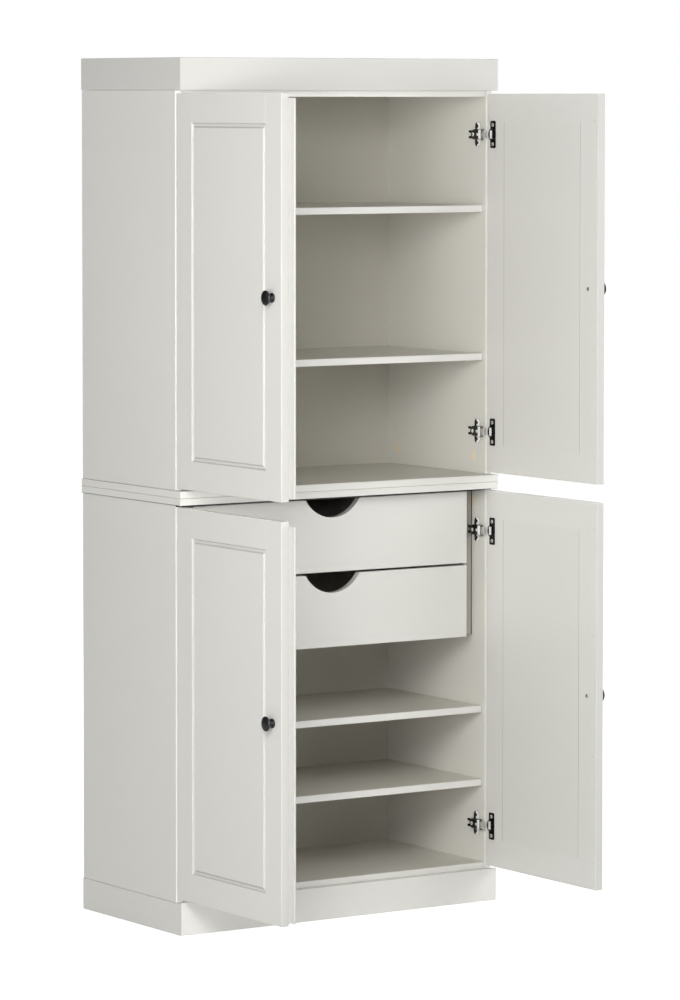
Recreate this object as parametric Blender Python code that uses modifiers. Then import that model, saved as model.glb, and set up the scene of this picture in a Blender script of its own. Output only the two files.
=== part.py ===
"""Two-part pantry cabinet: an upper and a lower carcass stacked at a double
waist board, four framed doors on concealed cup hinges, two inner drawers
with finger cut-outs, four adjustable shelves, a plinth and a cornice.

Units are metres, +Z up, the front faces -Y.  The origin is on the floor, at
mid width, under the middle of the plinth's back rail.  Doors stand open at
90 degrees at rest and the drawers are shut.  Each door hangs from an empty
on its hinge axis; each drawer hangs from an empty at its slide's zero.
"""

import math

import bmesh
import bpy
from mathutils import Matrix, Vector

# ------------------------------------------------------------------ dimensions
GAP = 0.0003            # gap between pieces that touch
T = 0.015               # carcass board
T_DOOR = 0.018          # door, cornice and plinth fronts
EDGE = 0.0008           # eased edge of a board

HALF_W = 0.397          # outer side face of a side panel
YB = 0.0075             # rear plane of the cabinet
DEPTH = 0.377           # depth of a side panel
YF = YB - DEPTH         # front edge of the side panels

PLINTH_SIDE_H = 0.0657
PLINTH_FRONT_H = 0.0690
WAIST_LOW = 0.8892      # underside of the lower top board
WAIST_MID = 0.9043      # underside of the upper floor board
WAIST_TOP = 0.9191
CORNICE_LOW = 1.7412    # underside of the cornice's side returns
FASCIA_LOW = 1.7405     # underside of the cornice's front board
TOP_PANEL_LOW = 1.7273
HEIGHT = 1.808

WAIST_HALF_W = 0.400
RING_HALF_W = 0.3986    # cornice and plinth stand this far out at the sides
WAIST_FRONT = YF - 0.0230
CORNICE_FRONT = YF - 0.0215
PLINTH_FRONT = YF - 0.0210

BACK_T = 0.003          # hardboard backs, in grooves
BACK_Y0 = YB - 0.0060
BACK_Y1 = BACK_Y0 + BACK_T
BACK_GROOVE = 0.006
BACK_HALF_W = HALF_W - T + 0.005

SHELF_SETBACK = 0.010
SHELF_HALF_W = HALF_W - T - 0.0013
SHELVES = {             # underside of each shelf
    "upper_shelf_top": 1.4813,
    "upper_shelf_bottom": 1.1638,
    "lower_shelf_top": 0.4040,
    "lower_shelf_bottom": 0.2450,
}

# doors, given closed
DOOR_GAP = 0.002        # closed door to the side panel's front edge
REVEAL = 0.0015         # door edge to the cabinet's outer side face
MID_GAP = 0.003
DOOR_W = HALF_W - REVEAL - MID_GAP / 2
DOOR_H = 0.8102
DOOR_Z = {"upper": 0.9241, "lower": 0.0753}
STILE = 0.0576          # frame width at the outer face
STILE_IN = 0.0610       # and at the inner face, where a shoulder holds the panel
SHOULDER = 0.0090       # depth of the shoulder behind the outer face
RAIL = 0.0595
PANEL_GAP = 0.0005
MOULD_W = 0.0105        # width of the moulded border round the panel
MOULD_D = 0.0020
PIVOT_IN = 0.0060       # hinge axis inboard of the outer side face
PIVOT_FRONT = 0.0122    # hinge axis in front of the side panel's front edge
OPEN = math.radians(90)

STRIP_T = 0.0045        # cover strip behind the left door's free edge
STRIP_IN = 0.0210
STRIP_OUT = 0.0190
STRIP_BOTTOM = 0.0066
STRIP_TOP = 0.0090

KNOB_FROM_EDGE = 0.0320
KNOB_PROFILE = (        # (distance from the door, radius)
    (0.0205, 0.0000), (0.0202, 0.0060), (0.0195, 0.0110), (0.0182, 0.0143),
    (0.0167, 0.0152), (0.0152, 0.0147), (0.0130, 0.0106), (0.0104, 0.0070),
    (0.0078, 0.0055), (0.0056, 0.0059), (0.0042, 0.0083), (0.0032, 0.0096),
    (0.0003, 0.0097), (0.0003, 0.0000),
)

# concealed cup hinges
HINGE_INSET = 0.0870    # hinge centre to the door's top or bottom edge
CUP_FROM_EDGE = 0.0174
CUP_R = 0.0130
CUP_DEPTH = 0.0120
CUP_WALL = 0.0010
RIM_R = 0.0138
RIM_T = 0.0008
BORE_R = 0.0133
BORE_DEPTH = 0.0122
FLANGE_H = 0.0580
FLANGE_FROM_EDGE = 0.0214
FLANGE_W = 0.0186
FLANGE_T = 0.0012
PLATE_H = 0.0525
PLATE_Y = (0.019, 0.037)
PLATE_T = 0.0020
BOSS_Y = (0.012, 0.045)
ARM_Q = (0.0207, 0.0290)
ARM_Y = (0.0002, 0.0380)
ARM_H = 0.0220
PRONG_Y = 0.0485
NOSE_Q = (0.0186, 0.0270)
NOSE_Y = (-0.0115, 0.0020)
NOSE_H = 0.0140

# inner drawers
GUIDE_T = 0.022
GUIDE_FRONT = YF + 0.050
GUIDE_LOW = 0.5695
RUNNER_H = 0.014
RUNNER_TIP = 0.3393
DRAWER_HALF_W = 0.3455
DRAWER_H = 0.1541
DRAWER_FRONT_Y = YF + 0.0155
DRAWER_FRONT_T = 0.015
DRAWER_Z = {"top": 0.7286, "bottom": 0.5696}
CUTOUT_HALF_W = 0.068
CUTOUT_D = 0.0392
WRAP_HALF_W = 0.3450
WRAP_T = 0.012
WRAP_LENGTH = 0.320
WRAP_Z = (0.010, 0.125)
BASE_T = 0.004
BASE_Z = 0.0185
BASE_GROOVE = 0.0050
RUN_GROOVE_Z = (0.052, 0.068)
RUN_GROOVE_D = 0.0065


# -------------------------------------------------------------------- helpers
for old in list(bpy.data.objects):
    bpy.data.objects.remove(old, do_unlink=True)

scene = bpy.context.scene
cabinet = bpy.data.collections.new("pantry_cabinet")
helpers = bpy.data.collections.new("cutters")
helpers.hide_render = True
scene.collection.children.link(cabinet)
scene.collection.children.link(helpers)


def srgb(r, g, b):
    """8-bit sRGB to a linear colour."""
    out = []
    for value in (r, g, b):
        c = value / 255
        out.append(c / 12.92 if c <= 0.04045 else ((c + 0.055) / 1.055) ** 2.4)
    return (*out, 1.0)


FINISH = {
    "door": (srgb(234, 232, 225), 0.42, 0.0),
    "board": (srgb(233, 231, 224), 0.48, 0.0),
    "back": (srgb(231, 229, 222), 0.60, 0.0),
    "drawer": (srgb(234, 232, 225), 0.45, 0.0),
    "strip": (srgb(235, 233, 227), 0.40, 0.0),
    "knob": (srgb(20, 20, 21), 0.35, 0.0),
    "nickel": (srgb(190, 190, 188), 0.18, 1.0),
}


def material(name, finish):
    colour, roughness, metallic = FINISH[finish]
    mat = bpy.data.materials.new(name)
    mat.use_nodes = True
    shader = mat.node_tree.nodes["Principled BSDF"]
    shader.inputs["Base Color"].default_value = colour
    shader.inputs["Roughness"].default_value = roughness
    shader.inputs["Metallic"].default_value = metallic
    mat.diffuse_color = colour
    return mat


def place(name, mesh, finish, centre, parent=None, smooth=False):
    """A new object at centre, which is relative to the parent if there is one."""
    obj = bpy.data.objects.new(name, mesh)
    obj.location = centre
    obj.parent = parent
    if finish is None:
        helpers.objects.link(obj)
        obj.hide_render = True
        obj.display_type = "WIRE"
    else:
        mesh.materials.append(material(name, finish))
        cabinet.objects.link(obj)
    if smooth:
        mesh.shade_smooth()
        mesh.set_sharp_from_angle(angle=math.radians(35))
    return obj


def box(name, lo, hi, finish, parent=None, offset=(0, 0, 0), ease=EDGE):
    """A box between two corners.  offset is the parent's own place."""
    lo, hi, offset = Vector(lo), Vector(hi), Vector(offset)
    bm = bmesh.new()
    bmesh.ops.create_cube(bm, size=1.0)
    bmesh.ops.scale(bm, vec=hi - lo, verts=bm.verts)
    mesh = bpy.data.meshes.new(name)
    bm.to_mesh(mesh)
    bm.free()
    obj = place(name, mesh, finish, (lo + hi) / 2 - offset, parent)
    if ease:
        eased(obj, ease)
    return obj


def eased(obj, width):
    bevel = obj.modifiers.new("eased_edges", "BEVEL")
    bevel.width = width
    bevel.segments = 1
    bevel.limit_method = "ANGLE"
    bevel.angle_limit = math.radians(40)
    return bevel


def cylinder(name, radius, length, centre, axis, finish, parent=None, segments=24):
    """A capped cylinder whose axis is a world direction."""
    bm = bmesh.new()
    bmesh.ops.create_cone(
        bm, cap_ends=True, segments=segments, radius1=radius, radius2=radius, depth=length
    )
    turn = Vector((0, 0, 1)).rotation_difference(Vector(axis)).to_matrix()
    bmesh.ops.rotate(bm, matrix=turn, verts=bm.verts)
    mesh = bpy.data.meshes.new(name)
    bm.to_mesh(mesh)
    bm.free()
    return place(name, mesh, finish, centre, parent)


def boolean(obj, other, operation="DIFFERENCE"):
    mod = obj.modifiers.new(operation.lower() + "_" + other.name, "BOOLEAN")
    mod.operation = operation
    mod.solver = "EXACT"
    mod.object = other
    return mod


# ---------------------------------------------------------- plinth and cornice
def ring_front(name, front, low, high):
    """A front board whose ends are mitred towards the back."""
    obj = box(name, (-RING_HALF_W, front, low), (RING_HALF_W, front + T_DOOR, high), "board", ease=0)
    for vert in obj.data.vertices:
        if vert.co.y > 0:
            vert.co.x -= math.copysign(T, vert.co.x)
    eased(obj, EDGE)


def ring_side(name, side, front, low, high):
    """A side return, mitred to meet the front board."""
    x0, x1 = sorted((side * RING_HALF_W, side * (RING_HALF_W - T)))
    start = front + 0.0005
    obj = box(name, (x0, start, low), (x1, YB, high), "board", ease=0)
    for vert in obj.data.vertices:
        if vert.co.y < 0 and vert.co.x * side < 0:
            vert.co.y += T_DOOR
    eased(obj, EDGE)


ring_front("plinth_front", PLINTH_FRONT, 0.0, PLINTH_FRONT_H)
ring_front("cornice_front", CORNICE_FRONT, FASCIA_LOW, HEIGHT)
for side, word in ((-1, "left"), (1, "right")):
    ring_side("plinth_side_" + word, side, PLINTH_FRONT, 0.0, PLINTH_SIDE_H)
    ring_side("cornice_side_" + word, side, CORNICE_FRONT, CORNICE_LOW, HEIGHT)
rail_half = RING_HALF_W - T - GAP
box("plinth_back_rail", (-rail_half, YB - T, 0), (rail_half, YB, PLINTH_SIDE_H), "board")

# -------------------------------------------------------------------- carcasses
inner = HALF_W - T - GAP
board_back = BACK_Y0 - 0.0005
LEVELS = {
    "lower": (PLINTH_SIDE_H + GAP, WAIST_LOW - GAP),
    "upper": (WAIST_TOP + GAP, CORNICE_LOW - GAP),
}
for level, (low, high) in LEVELS.items():
    for side, word in ((-1, "left"), (1, "right")):
        x0, x1 = sorted((side * HALF_W, side * (HALF_W - T)))
        panel = box(f"{level}_side_{word}", (x0, YF, low), (x1, YB, high), "board")
        g0, g1 = sorted((side * (HALF_W - T - 0.004), side * (HALF_W - T + BACK_GROOVE)))
        groove = box(
            f"cut_{level}_groove_{word}",
            (g0, BACK_Y0 - GAP, low - 0.01), (g1, BACK_Y1 + GAP, high + 0.01), None, ease=0,
        )
        boolean(panel, groove)
    box(f"{level}_back_panel", (-BACK_HALF_W, BACK_Y0, low), (BACK_HALF_W, BACK_Y1, high), "back", ease=0.0004)

box("lower_floor_board", (-inner, YF, LEVELS["lower"][0]), (inner, board_back, LEVELS["lower"][0] + T), "board")
box("top_panel", (-inner, YF, TOP_PANEL_LOW), (inner, board_back, TOP_PANEL_LOW + T), "board")
box("lower_top_board", (-WAIST_HALF_W, WAIST_FRONT, WAIST_LOW), (WAIST_HALF_W, YB, WAIST_MID - GAP), "board")
box("upper_floor_board", (-WAIST_HALF_W, WAIST_FRONT, WAIST_MID), (WAIST_HALF_W, YB, WAIST_TOP), "board")
for name, low in SHELVES.items():
    box(name, (-SHELF_HALF_W, YF + SHELF_SETBACK, low), (SHELF_HALF_W, BACK_Y0 - 0.0015, low + T), "board")


# ---------------------------------------------------------------- drawer guides
for side, word in ((-1, "left"), (1, "right")):
    x0, x1 = sorted((side * inner, side * (inner - GUIDE_T)))
    guide = box(
        f"drawer_guide_{word}", (x0, GUIDE_FRONT, GUIDE_LOW), (x1, board_back - 0.001, LEVELS["lower"][1]), "board",
    )
    for which, base in DRAWER_Z.items():
        low = base + (RUN_GROOVE_Z[0] + RUN_GROOVE_Z[1] - RUNNER_H) / 2
        r0, r1 = sorted((side * (inner - GUIDE_T + 0.004), side * RUNNER_TIP))
        runner = box(
            f"add_runner_{word}_{which}",
            (r0, GUIDE_FRONT + 0.002, low), (r1, board_back - 0.002, low + RUNNER_H), None, ease=0,
        )
        boolean(guide, runner, "UNION")

# --------------------------------------------------------------------- drawers
for which, base in DRAWER_Z.items():
    slide = bpy.data.objects.new(f"slide_{which}", None)
    slide.location = (0, DRAWER_FRONT_Y, base)
    cabinet.objects.link(slide)
    origin = slide.location
    rear = DRAWER_FRONT_Y + DRAWER_FRONT_T

    front = box(
        f"drawer_front_{which}",
        (-DRAWER_HALF_W, DRAWER_FRONT_Y, base), (DRAWER_HALF_W, rear, base + DRAWER_H), "drawer", slide, origin,
    )
    radius = (CUTOUT_HALF_W ** 2 + CUTOUT_D ** 2) / (2 * CUTOUT_D)
    centre = Vector((0, (DRAWER_FRONT_Y + rear) / 2, base + DRAWER_H + radius - CUTOUT_D)) - origin
    cut = cylinder(f"cut_finger_{which}", radius, 0.04, centre, (0, 1, 0), None, slide, segments=72)
    boolean(front, cut)

    b0, b1 = base + BASE_Z - GAP, base + BASE_Z + BASE_T + GAP
    slot_half = WRAP_HALF_W - WRAP_T + BASE_GROOVE
    slot = box(
        f"cut_base_{which}",
        (-slot_half, rear - BASE_GROOVE, b0), (slot_half, rear + WRAP_LENGTH - WRAP_T + BASE_GROOVE, b1),
        None, slide, origin, ease=0,
    )
    boolean(front, slot)

    w0, w1 = base + WRAP_Z[0], base + WRAP_Z[1]
    start = rear + GAP
    wrap = box(
        f"drawer_wrap_{which}", (-WRAP_HALF_W, start, w0), (WRAP_HALF_W, start + WRAP_LENGTH, w1),
        "drawer", slide, origin,
    )
    hollow = box(
        f"cut_hollow_{which}",
        (-WRAP_HALF_W + WRAP_T, start - 0.02, w0 - 0.02),
        (WRAP_HALF_W - WRAP_T, start + WRAP_LENGTH - WRAP_T, w1 + 0.02), None, slide, origin, ease=0,
    )
    boolean(wrap, hollow)
    boolean(wrap, slot)
    for side in (-1, 1):
        g0, g1 = sorted((side * (WRAP_HALF_W - RUN_GROOVE_D), side * (WRAP_HALF_W + 0.01)))
        run = box(
            f"cut_run_{which}_{'left' if side < 0 else 'right'}",
            (g0, start - 0.02, base + RUN_GROOVE_Z[0]), (g1, start + WRAP_LENGTH + 0.02, base + RUN_GROOVE_Z[1]),
            None, slide, origin, ease=0,
        )
        boolean(wrap, run)

    half = slot_half - GAP
    box(
        f"drawer_base_{which}",
        (-half, rear - BASE_GROOVE + GAP, base + BASE_Z),
        (half, rear + WRAP_LENGTH - WRAP_T + BASE_GROOVE - GAP, base + BASE_Z + BASE_T),
        "drawer", slide, origin, ease=0,
    )


# ----------------------------------------------------------------------- doors
def door_x(side, u):
    """World x, door closed, of a point u from the door's hinge edge."""
    return side * (HALF_W - REVEAL - u)


def span(side, u0, u1):
    return sorted((door_x(side, u0), door_x(side, u1)))


OUTER = YF - DOOR_GAP - T_DOOR   # closed outer face
INNER = YF - DOOR_GAP            # closed inner face


def turned(name, profile, finish, centre, parent, segments):
    """A turned piece whose axis is -Y when the door is closed: a profile of
    (distance from the door, radius) with a Screw modifier about local Z."""
    bm = bmesh.new()
    verts = [bm.verts.new((radius, 0, height)) for height, radius in profile]
    for a, b in zip(verts, verts[1:]):
        bm.edges.new((a, b))
    mesh = bpy.data.meshes.new(name)
    bm.to_mesh(mesh)
    bm.free()
    obj = place(name, mesh, finish, centre, parent, smooth=False)
    obj.rotation_euler = (math.radians(90), 0, 0)
    screw = obj.modifiers.new("turn", "SCREW")
    screw.axis = "Z"
    screw.steps = screw.render_steps = segments
    screw.use_merge_vertices = True
    screw.merge_threshold = 0.00001
    screw.use_smooth_shade = True
    return obj


def hinge_cup(name, side, z, pivot, parent):
    """Cup, rim and screw flange in one pressed piece, hollow towards the carcass."""
    cx, fx = door_x(side, CUP_FROM_EDGE), door_x(side, FLANGE_FROM_EDGE)
    off = pivot.location
    seg = 24
    cup_end = INNER + GAP + RIM_T / 2
    cup = cylinder(
        name, CUP_R, CUP_DEPTH, Vector((cx, cup_end - CUP_DEPTH / 2, z)) - off, (0, 1, 0), "nickel", parent, seg,
    )
    rim = cylinder(
        "add_rim_" + name, RIM_R, RIM_T, Vector((cx, INNER + GAP + RIM_T / 2, z)) - off, (0, 1, 0), None, parent, seg,
    )
    flange = box(
        "add_flange_" + name,
        (fx - FLANGE_W / 2, INNER + GAP, z - FLANGE_H / 2), (fx + FLANGE_W / 2, INNER + GAP + FLANGE_T, z + FLANGE_H / 2),
        None, parent, off, ease=0,
    )
    cavity = cylinder(
        "cut_cavity_" + name, CUP_R - CUP_WALL, CUP_DEPTH,
        Vector((cx, cup_end - CUP_DEPTH / 2 + CUP_WALL, z)) - off, (0, 1, 0), None, parent, seg,
    )
    boolean(cup, rim, "UNION")
    boolean(cup, flange, "UNION")
    boolean(cup, cavity)


def hinge_arm(name, side, z):
    """Mounting plate, boss, arm, rear prongs and nose on the side panel."""
    def q(a, b):
        return sorted((side * (HALF_W - a), side * (HALF_W - b)))

    face = T + GAP
    x0, x1 = q(face, face + PLATE_T)
    arm = box(name, (x0, YF + PLATE_Y[0], z - PLATE_H / 2), (x1, YF + PLATE_Y[1], z + PLATE_H / 2), "nickel", ease=0)
    pieces = (
        ("boss", (face, ARM_Q[0] + 0.001), BOSS_Y, 0.016),
        ("arm", ARM_Q, ARM_Y, ARM_H),
        ("nose", NOSE_Q, NOSE_Y, NOSE_H),
        ("tail", (ARM_Q[0] + 0.001, ARM_Q[1] - 0.0025), (ARM_Y[1] - 0.002, PRONG_Y), 0.018),
    )
    for word, depth, run, height in pieces:
        x0, x1 = q(*depth)
        add = box(
            f"add_{word}_{name}", (x0, YF + run[0], z - height / 2), (x1, YF + run[1], z + height / 2), None, ease=0,
        )
        boolean(arm, add, "UNION")
    x0, x1 = q(ARM_Q[0] - 0.004, ARM_Q[1] + 0.004)
    slot = box(
        f"cut_tail_{name}", (x0, YF + ARM_Y[1] + 0.002, z - 0.0035), (x1, YF + PRONG_Y + 0.004, z + 0.0035), None, ease=0,
    )
    boolean(arm, slot)


for level, base in DOOR_Z.items():
    for side, word in ((-1, "left"), (1, "right")):
        tag = f"{level}_{word}"
        pivot = bpy.data.objects.new(f"hinge_axis_{tag}", None)
        pivot.location = (side * (HALF_W - PIVOT_IN), YF - PIVOT_FRONT, base)
        cabinet.objects.link(pivot)
        off = pivot.location.copy()
        top = base + DOOR_H

        x0, x1 = span(side, 0, DOOR_W)
        frame = box(f"door_frame_{tag}", (x0, OUTER, base), (x1, INNER, top), "door", pivot, off)
        for word_in, stile, y0, y1 in (
            ("front", STILE, OUTER - 0.01, OUTER + SHOULDER),
            ("rear", STILE_IN, OUTER + SHOULDER - 0.001, INNER + 0.01),
        ):
            x0, x1 = span(side, stile, DOOR_W - stile)
            window = box(
                f"cut_window_{word_in}_{tag}", (x0, y0, base + RAIL), (x1, y1, top - RAIL), None, pivot, off, ease=0,
            )
            boolean(frame, window)

        hinge_z = {"bottom": base + HINGE_INSET, "top": top - HINGE_INSET}
        for place_word, z in hinge_z.items():
            centre = Vector((door_x(side, CUP_FROM_EDGE), INNER - BORE_DEPTH / 2 + 0.005, z)) - off
            bore = cylinder(
                f"cut_bore_{tag}_{place_word}", BORE_R, BORE_DEPTH + 0.010, centre, (0, 1, 0), None, pivot, 24,
            )
            boolean(frame, bore)
            hinge_cup(f"hinge_cup_{tag}_{place_word}", side, z, pivot, pivot)
            hinge_arm(f"hinge_arm_{tag}_{place_word}", side, z)

        x0, x1 = span(side, STILE + PANEL_GAP, DOOR_W - STILE - PANEL_GAP)
        low, high = base + RAIL + PANEL_GAP, top - RAIL - PANEL_GAP
        panel = box(
            f"door_panel_{tag}", (x0, OUTER + MOULD_D, low), (x1, OUTER + SHOULDER - GAP, high), "door", pivot, off, ease=0,
        )
        r0, r1 = span(side, STILE_IN + PANEL_GAP, DOOR_W - STILE_IN - PANEL_GAP)
        rear = box(
            f"add_rear_{tag}", (r0, OUTER + 0.004, low + 0.0002), (r1, INNER - 0.0002, high - 0.0002), None, pivot, off, ease=0,
        )
        boolean(panel, rear, "UNION")
        field = box(
            f"add_field_{tag}", (x0 + MOULD_W, OUTER + 0.0002, low + MOULD_W), (x1 - MOULD_W, OUTER + 0.006, high - MOULD_W),
            None, pivot, off, ease=0,
        )
        boolean(panel, field, "UNION")

        if side < 0:
            x0, x1 = span(side, DOOR_W - STRIP_IN, DOOR_W + STRIP_OUT)
            box(
                f"cover_strip_{tag}", (x0, INNER + GAP, base + STRIP_BOTTOM), (x1, INNER + GAP + STRIP_T, top - STRIP_TOP),
                "strip", pivot, off, ease=0.0006,
            )

        centre = Vector((door_x(side, DOOR_W - KNOB_FROM_EDGE), OUTER, base + DOOR_H / 2)) - off
        turned(f"knob_{tag}", KNOB_PROFILE, "knob", centre, pivot, 20)

        pivot.rotation_euler = (0, 0, side * OPEN)
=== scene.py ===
"""Looks for the pantry cabinet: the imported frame's boards keep their shapes and
get layered procedural finishes; doors, knobs, hinges and drawn-in details are
modelled in full and ride on the frame's bodies."""

import math

import bmesh
import bpy
from mathutils import Matrix, Vector


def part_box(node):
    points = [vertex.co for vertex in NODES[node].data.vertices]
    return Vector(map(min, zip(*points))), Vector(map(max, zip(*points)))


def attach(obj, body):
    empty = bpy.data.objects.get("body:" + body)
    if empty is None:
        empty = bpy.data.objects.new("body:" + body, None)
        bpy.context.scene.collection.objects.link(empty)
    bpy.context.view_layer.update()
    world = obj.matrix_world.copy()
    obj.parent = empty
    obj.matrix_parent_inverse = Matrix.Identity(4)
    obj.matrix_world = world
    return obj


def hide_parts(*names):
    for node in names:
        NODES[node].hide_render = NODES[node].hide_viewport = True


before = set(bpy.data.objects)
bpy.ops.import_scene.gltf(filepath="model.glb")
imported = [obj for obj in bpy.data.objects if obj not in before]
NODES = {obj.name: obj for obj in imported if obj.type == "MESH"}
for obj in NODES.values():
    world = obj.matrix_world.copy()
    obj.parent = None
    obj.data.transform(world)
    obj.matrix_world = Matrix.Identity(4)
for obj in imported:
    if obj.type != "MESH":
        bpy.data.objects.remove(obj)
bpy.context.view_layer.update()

# --------------------------------------------------------------- where things are
side_lo, side_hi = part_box("upper_side_right")
HALF_W = side_hi.x                      # outer face of the side panels
YF, YB = side_lo.y, side_hi.y           # their front and rear edges
BOARD = side_hi.x - side_lo.x
door_lo, door_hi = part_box("door_frame_upper_right")
DOOR_OUT = door_hi.x                    # outer face of an open door
DOOR_T = door_hi.x - door_lo.x
DOOR_Y = door_hi.y                      # hinge edge of an open door
DOOR_W = door_hi.y - door_lo.y
DOOR_H = door_hi.z - door_lo.z
BASE = {
    "upper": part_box("door_frame_upper_right")[0].z,
    "lower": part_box("door_frame_lower_right")[0].z,
}
SIDES = {"left": -1, "right": 1}
STILE, STILE_IN, RAIL, SHOULDER = 0.0576, 0.0610, 0.0595, 0.0090


def door_matrix(level, side):
    """(u from the hinge edge, w from the outer face, h above the door's bottom) to the row frame."""
    s = SIDES[side]
    return Matrix(
        (
            (0, -s, 0, s * DOOR_OUT),
            (-1, 0, 0, DOOR_Y),
            (0, 0, 1, BASE[level]),
            (0, 0, 0, 1),
        )
    )


def side_matrix(side, z=0.0):
    """(q inboard from a side panel's outer face, y behind its front edge, height above z) to the row frame."""
    s = SIDES[side]
    return Matrix(((-s, 0, 0, s * HALF_W), (0, 1, 0, YF), (0, 0, 1, z), (0, 0, 0, 1)))


# ------------------------------------------------------------------- materials
def srgb(r, g, b):
    out = []
    for v in (r, g, b):
        c = v / 255
        out.append(c / 12.92 if c <= 0.04045 else ((c + 0.055) / 1.055) ** 2.4)
    return out


class Graph:
    """A short way to build a node tree."""

    def __init__(self, name):
        self.mat = bpy.data.materials.new(name)
        self.mat.use_nodes = True
        self.tree = self.mat.node_tree
        self.tree.nodes.clear()
        self.shader = self.add("ShaderNodeBsdfPrincipled")
        out = self.add("ShaderNodeOutputMaterial")
        self.link(self.shader.outputs[0], out.inputs["Surface"])
        self.coord = self.add("ShaderNodeTexCoord")

    def add(self, kind, **values):
        node = self.tree.nodes.new(kind)
        for key, value in values.items():
            setattr(node, key, value)
        return node

    def link(self, a, b):
        self.tree.links.new(a, b)

    def mapped(self, scale, offset=(0, 0, 0)):
        node = self.add("ShaderNodeMapping")
        node.inputs["Scale"].default_value = scale
        node.inputs["Location"].default_value = offset
        self.link(self.coord.outputs["Object"], node.inputs["Vector"])
        return node.outputs["Vector"]

    def noise(self, vector, scale, detail=2.0, rough=0.5):
        node = self.add("ShaderNodeTexNoise")
        node.inputs["Scale"].default_value = scale
        node.inputs["Detail"].default_value = detail
        node.inputs["Roughness"].default_value = rough
        self.link(vector, node.inputs["Vector"])
        return node.outputs["Fac"]

    def ramp(self, value, low, high, a=0.0, b=1.0):
        node = self.add("ShaderNodeMapRange")
        node.inputs["From Min"].default_value = low
        node.inputs["From Max"].default_value = high
        node.inputs["To Min"].default_value = a
        node.inputs["To Max"].default_value = b
        self.link(value, node.inputs["Value"])
        return node.outputs["Result"]

    def mix(self, factor, a, b):
        node = self.add("ShaderNodeMix", data_type="RGBA")
        self.link(factor, node.inputs["Factor"])
        for value, socket in ((a, node.inputs["A"]), (b, node.inputs["B"])):
            if isinstance(value, (list, tuple)):
                socket.default_value = (*value[:3], 1.0)
            else:
                self.link(value, socket)
        return node.outputs["Result"]

    def bump(self, height, strength, distance, under=None):
        node = self.add("ShaderNodeBump")
        node.inputs["Strength"].default_value = strength
        node.inputs["Distance"].default_value = distance
        self.link(height, node.inputs["Height"])
        if under is not None:
            self.link(under, node.inputs["Normal"])
        return node.outputs["Normal"]


def tint(colour, gain):
    return [min(1.0, c * g) for c, g in zip(colour, gain)]


WHITE = srgb(222, 221, 216)
SEED = [0]


def coated(name, colour=WHITE, rough=0.42, along="z", grain=0.25, coat=0.0):
    """White foil or lacquer on board: a slow drift of tone, a faint pressed grain
    that runs along the board, and the fine orange peel of the finish."""
    SEED[0] += 1
    shift = (SEED[0] * 1.37, SEED[0] * 0.71, SEED[0] * 2.13)
    g = Graph(name)
    slow = g.noise(g.mapped((1.6, 1.6, 1.2), shift), 1.0, 2.0)
    stretch = {"x": (7, 420, 420), "y": (420, 7, 420), "z": (420, 420, 7)}[along]
    pores = g.noise(g.mapped(stretch, shift), 1.0, 3.0, 0.6)
    colour = tint(colour, [1 + 0.006 * math.sin(SEED[0] * 2.1)] * 3)
    tone = g.mix(g.ramp(slow, 0.3, 0.7), tint(colour, (0.985, 0.985, 0.98)), tint(colour, (1.01, 1.01, 1.012)))
    tone = g.mix(g.ramp(pores, 0.30, 0.75, 0.0, 0.10 * grain), tone, tint(colour, (0.90, 0.89, 0.87)))
    g.link(tone, g.shader.inputs["Base Color"])
    peel = g.noise(g.mapped((1, 1, 1), shift), 650.0, 2.0)
    g.link(g.ramp(peel, 0.25, 0.75, rough - 0.035, rough + 0.035), g.shader.inputs["Roughness"])
    normal = g.bump(pores, 0.10 * grain, 0.0002)
    g.link(g.bump(peel, 0.05, 0.0002, normal), g.shader.inputs["Normal"])
    g.shader.inputs["IOR"].default_value = 1.48
    if coat:
        g.shader.inputs["Coat Weight"].default_value = coat
        g.shader.inputs["Coat Roughness"].default_value = 0.22
    return g.mat


def hardboard(name, colour):
    """Thin coated hardboard: flatter and rougher, with a fine pressed weave."""
    SEED[0] += 1
    shift = (SEED[0] * 0.9, SEED[0] * 1.7, SEED[0] * 0.4)
    g = Graph(name)
    fibre = g.noise(g.mapped((260, 60, 900), shift), 1.0, 3.0, 0.6)
    slow = g.noise(g.mapped((2.2, 2.2, 1.4), shift), 1.0, 2.0)
    tone = g.mix(g.ramp(slow, 0.3, 0.7), tint(colour, (0.98, 0.98, 0.975)), colour)
    tone = g.mix(g.ramp(fibre, 0.35, 0.75, 0.0, 0.06), tone, tint(colour, (0.86, 0.85, 0.82)))
    g.link(tone, g.shader.inputs["Base Color"])
    g.link(g.ramp(fibre, 0.3, 0.7, 0.52, 0.64), g.shader.inputs["Roughness"])
    g.link(g.bump(fibre, 0.12, 0.0002), g.shader.inputs["Normal"])
    return g.mat


def plated(name, colour, rough, brushed=0.0):
    """Nickel-plated steel with fine drawing marks and a little unevenness."""
    SEED[0] += 1
    shift = (SEED[0] * 0.31, SEED[0] * 0.77, SEED[0] * 1.9)
    g = Graph(name)
    marks = g.noise(g.mapped((1500, 1500, 160), shift), 1.0, 3.0, 0.6)
    cloud = g.noise(g.mapped((90, 90, 90), shift), 1.0, 2.0)
    tone = g.mix(g.ramp(cloud, 0.3, 0.7), tint(colour, (0.88, 0.88, 0.88)), tint(colour, (1.06, 1.06, 1.05)))
    g.link(tone, g.shader.inputs["Base Color"])
    g.shader.inputs["Metallic"].default_value = 1.0
    g.link(g.ramp(marks, 0.3, 0.7, rough * 0.75, rough * 1.3), g.shader.inputs["Roughness"])
    g.link(g.bump(marks, 0.05 + brushed, 0.0001), g.shader.inputs["Normal"])
    return g.mat


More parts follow.
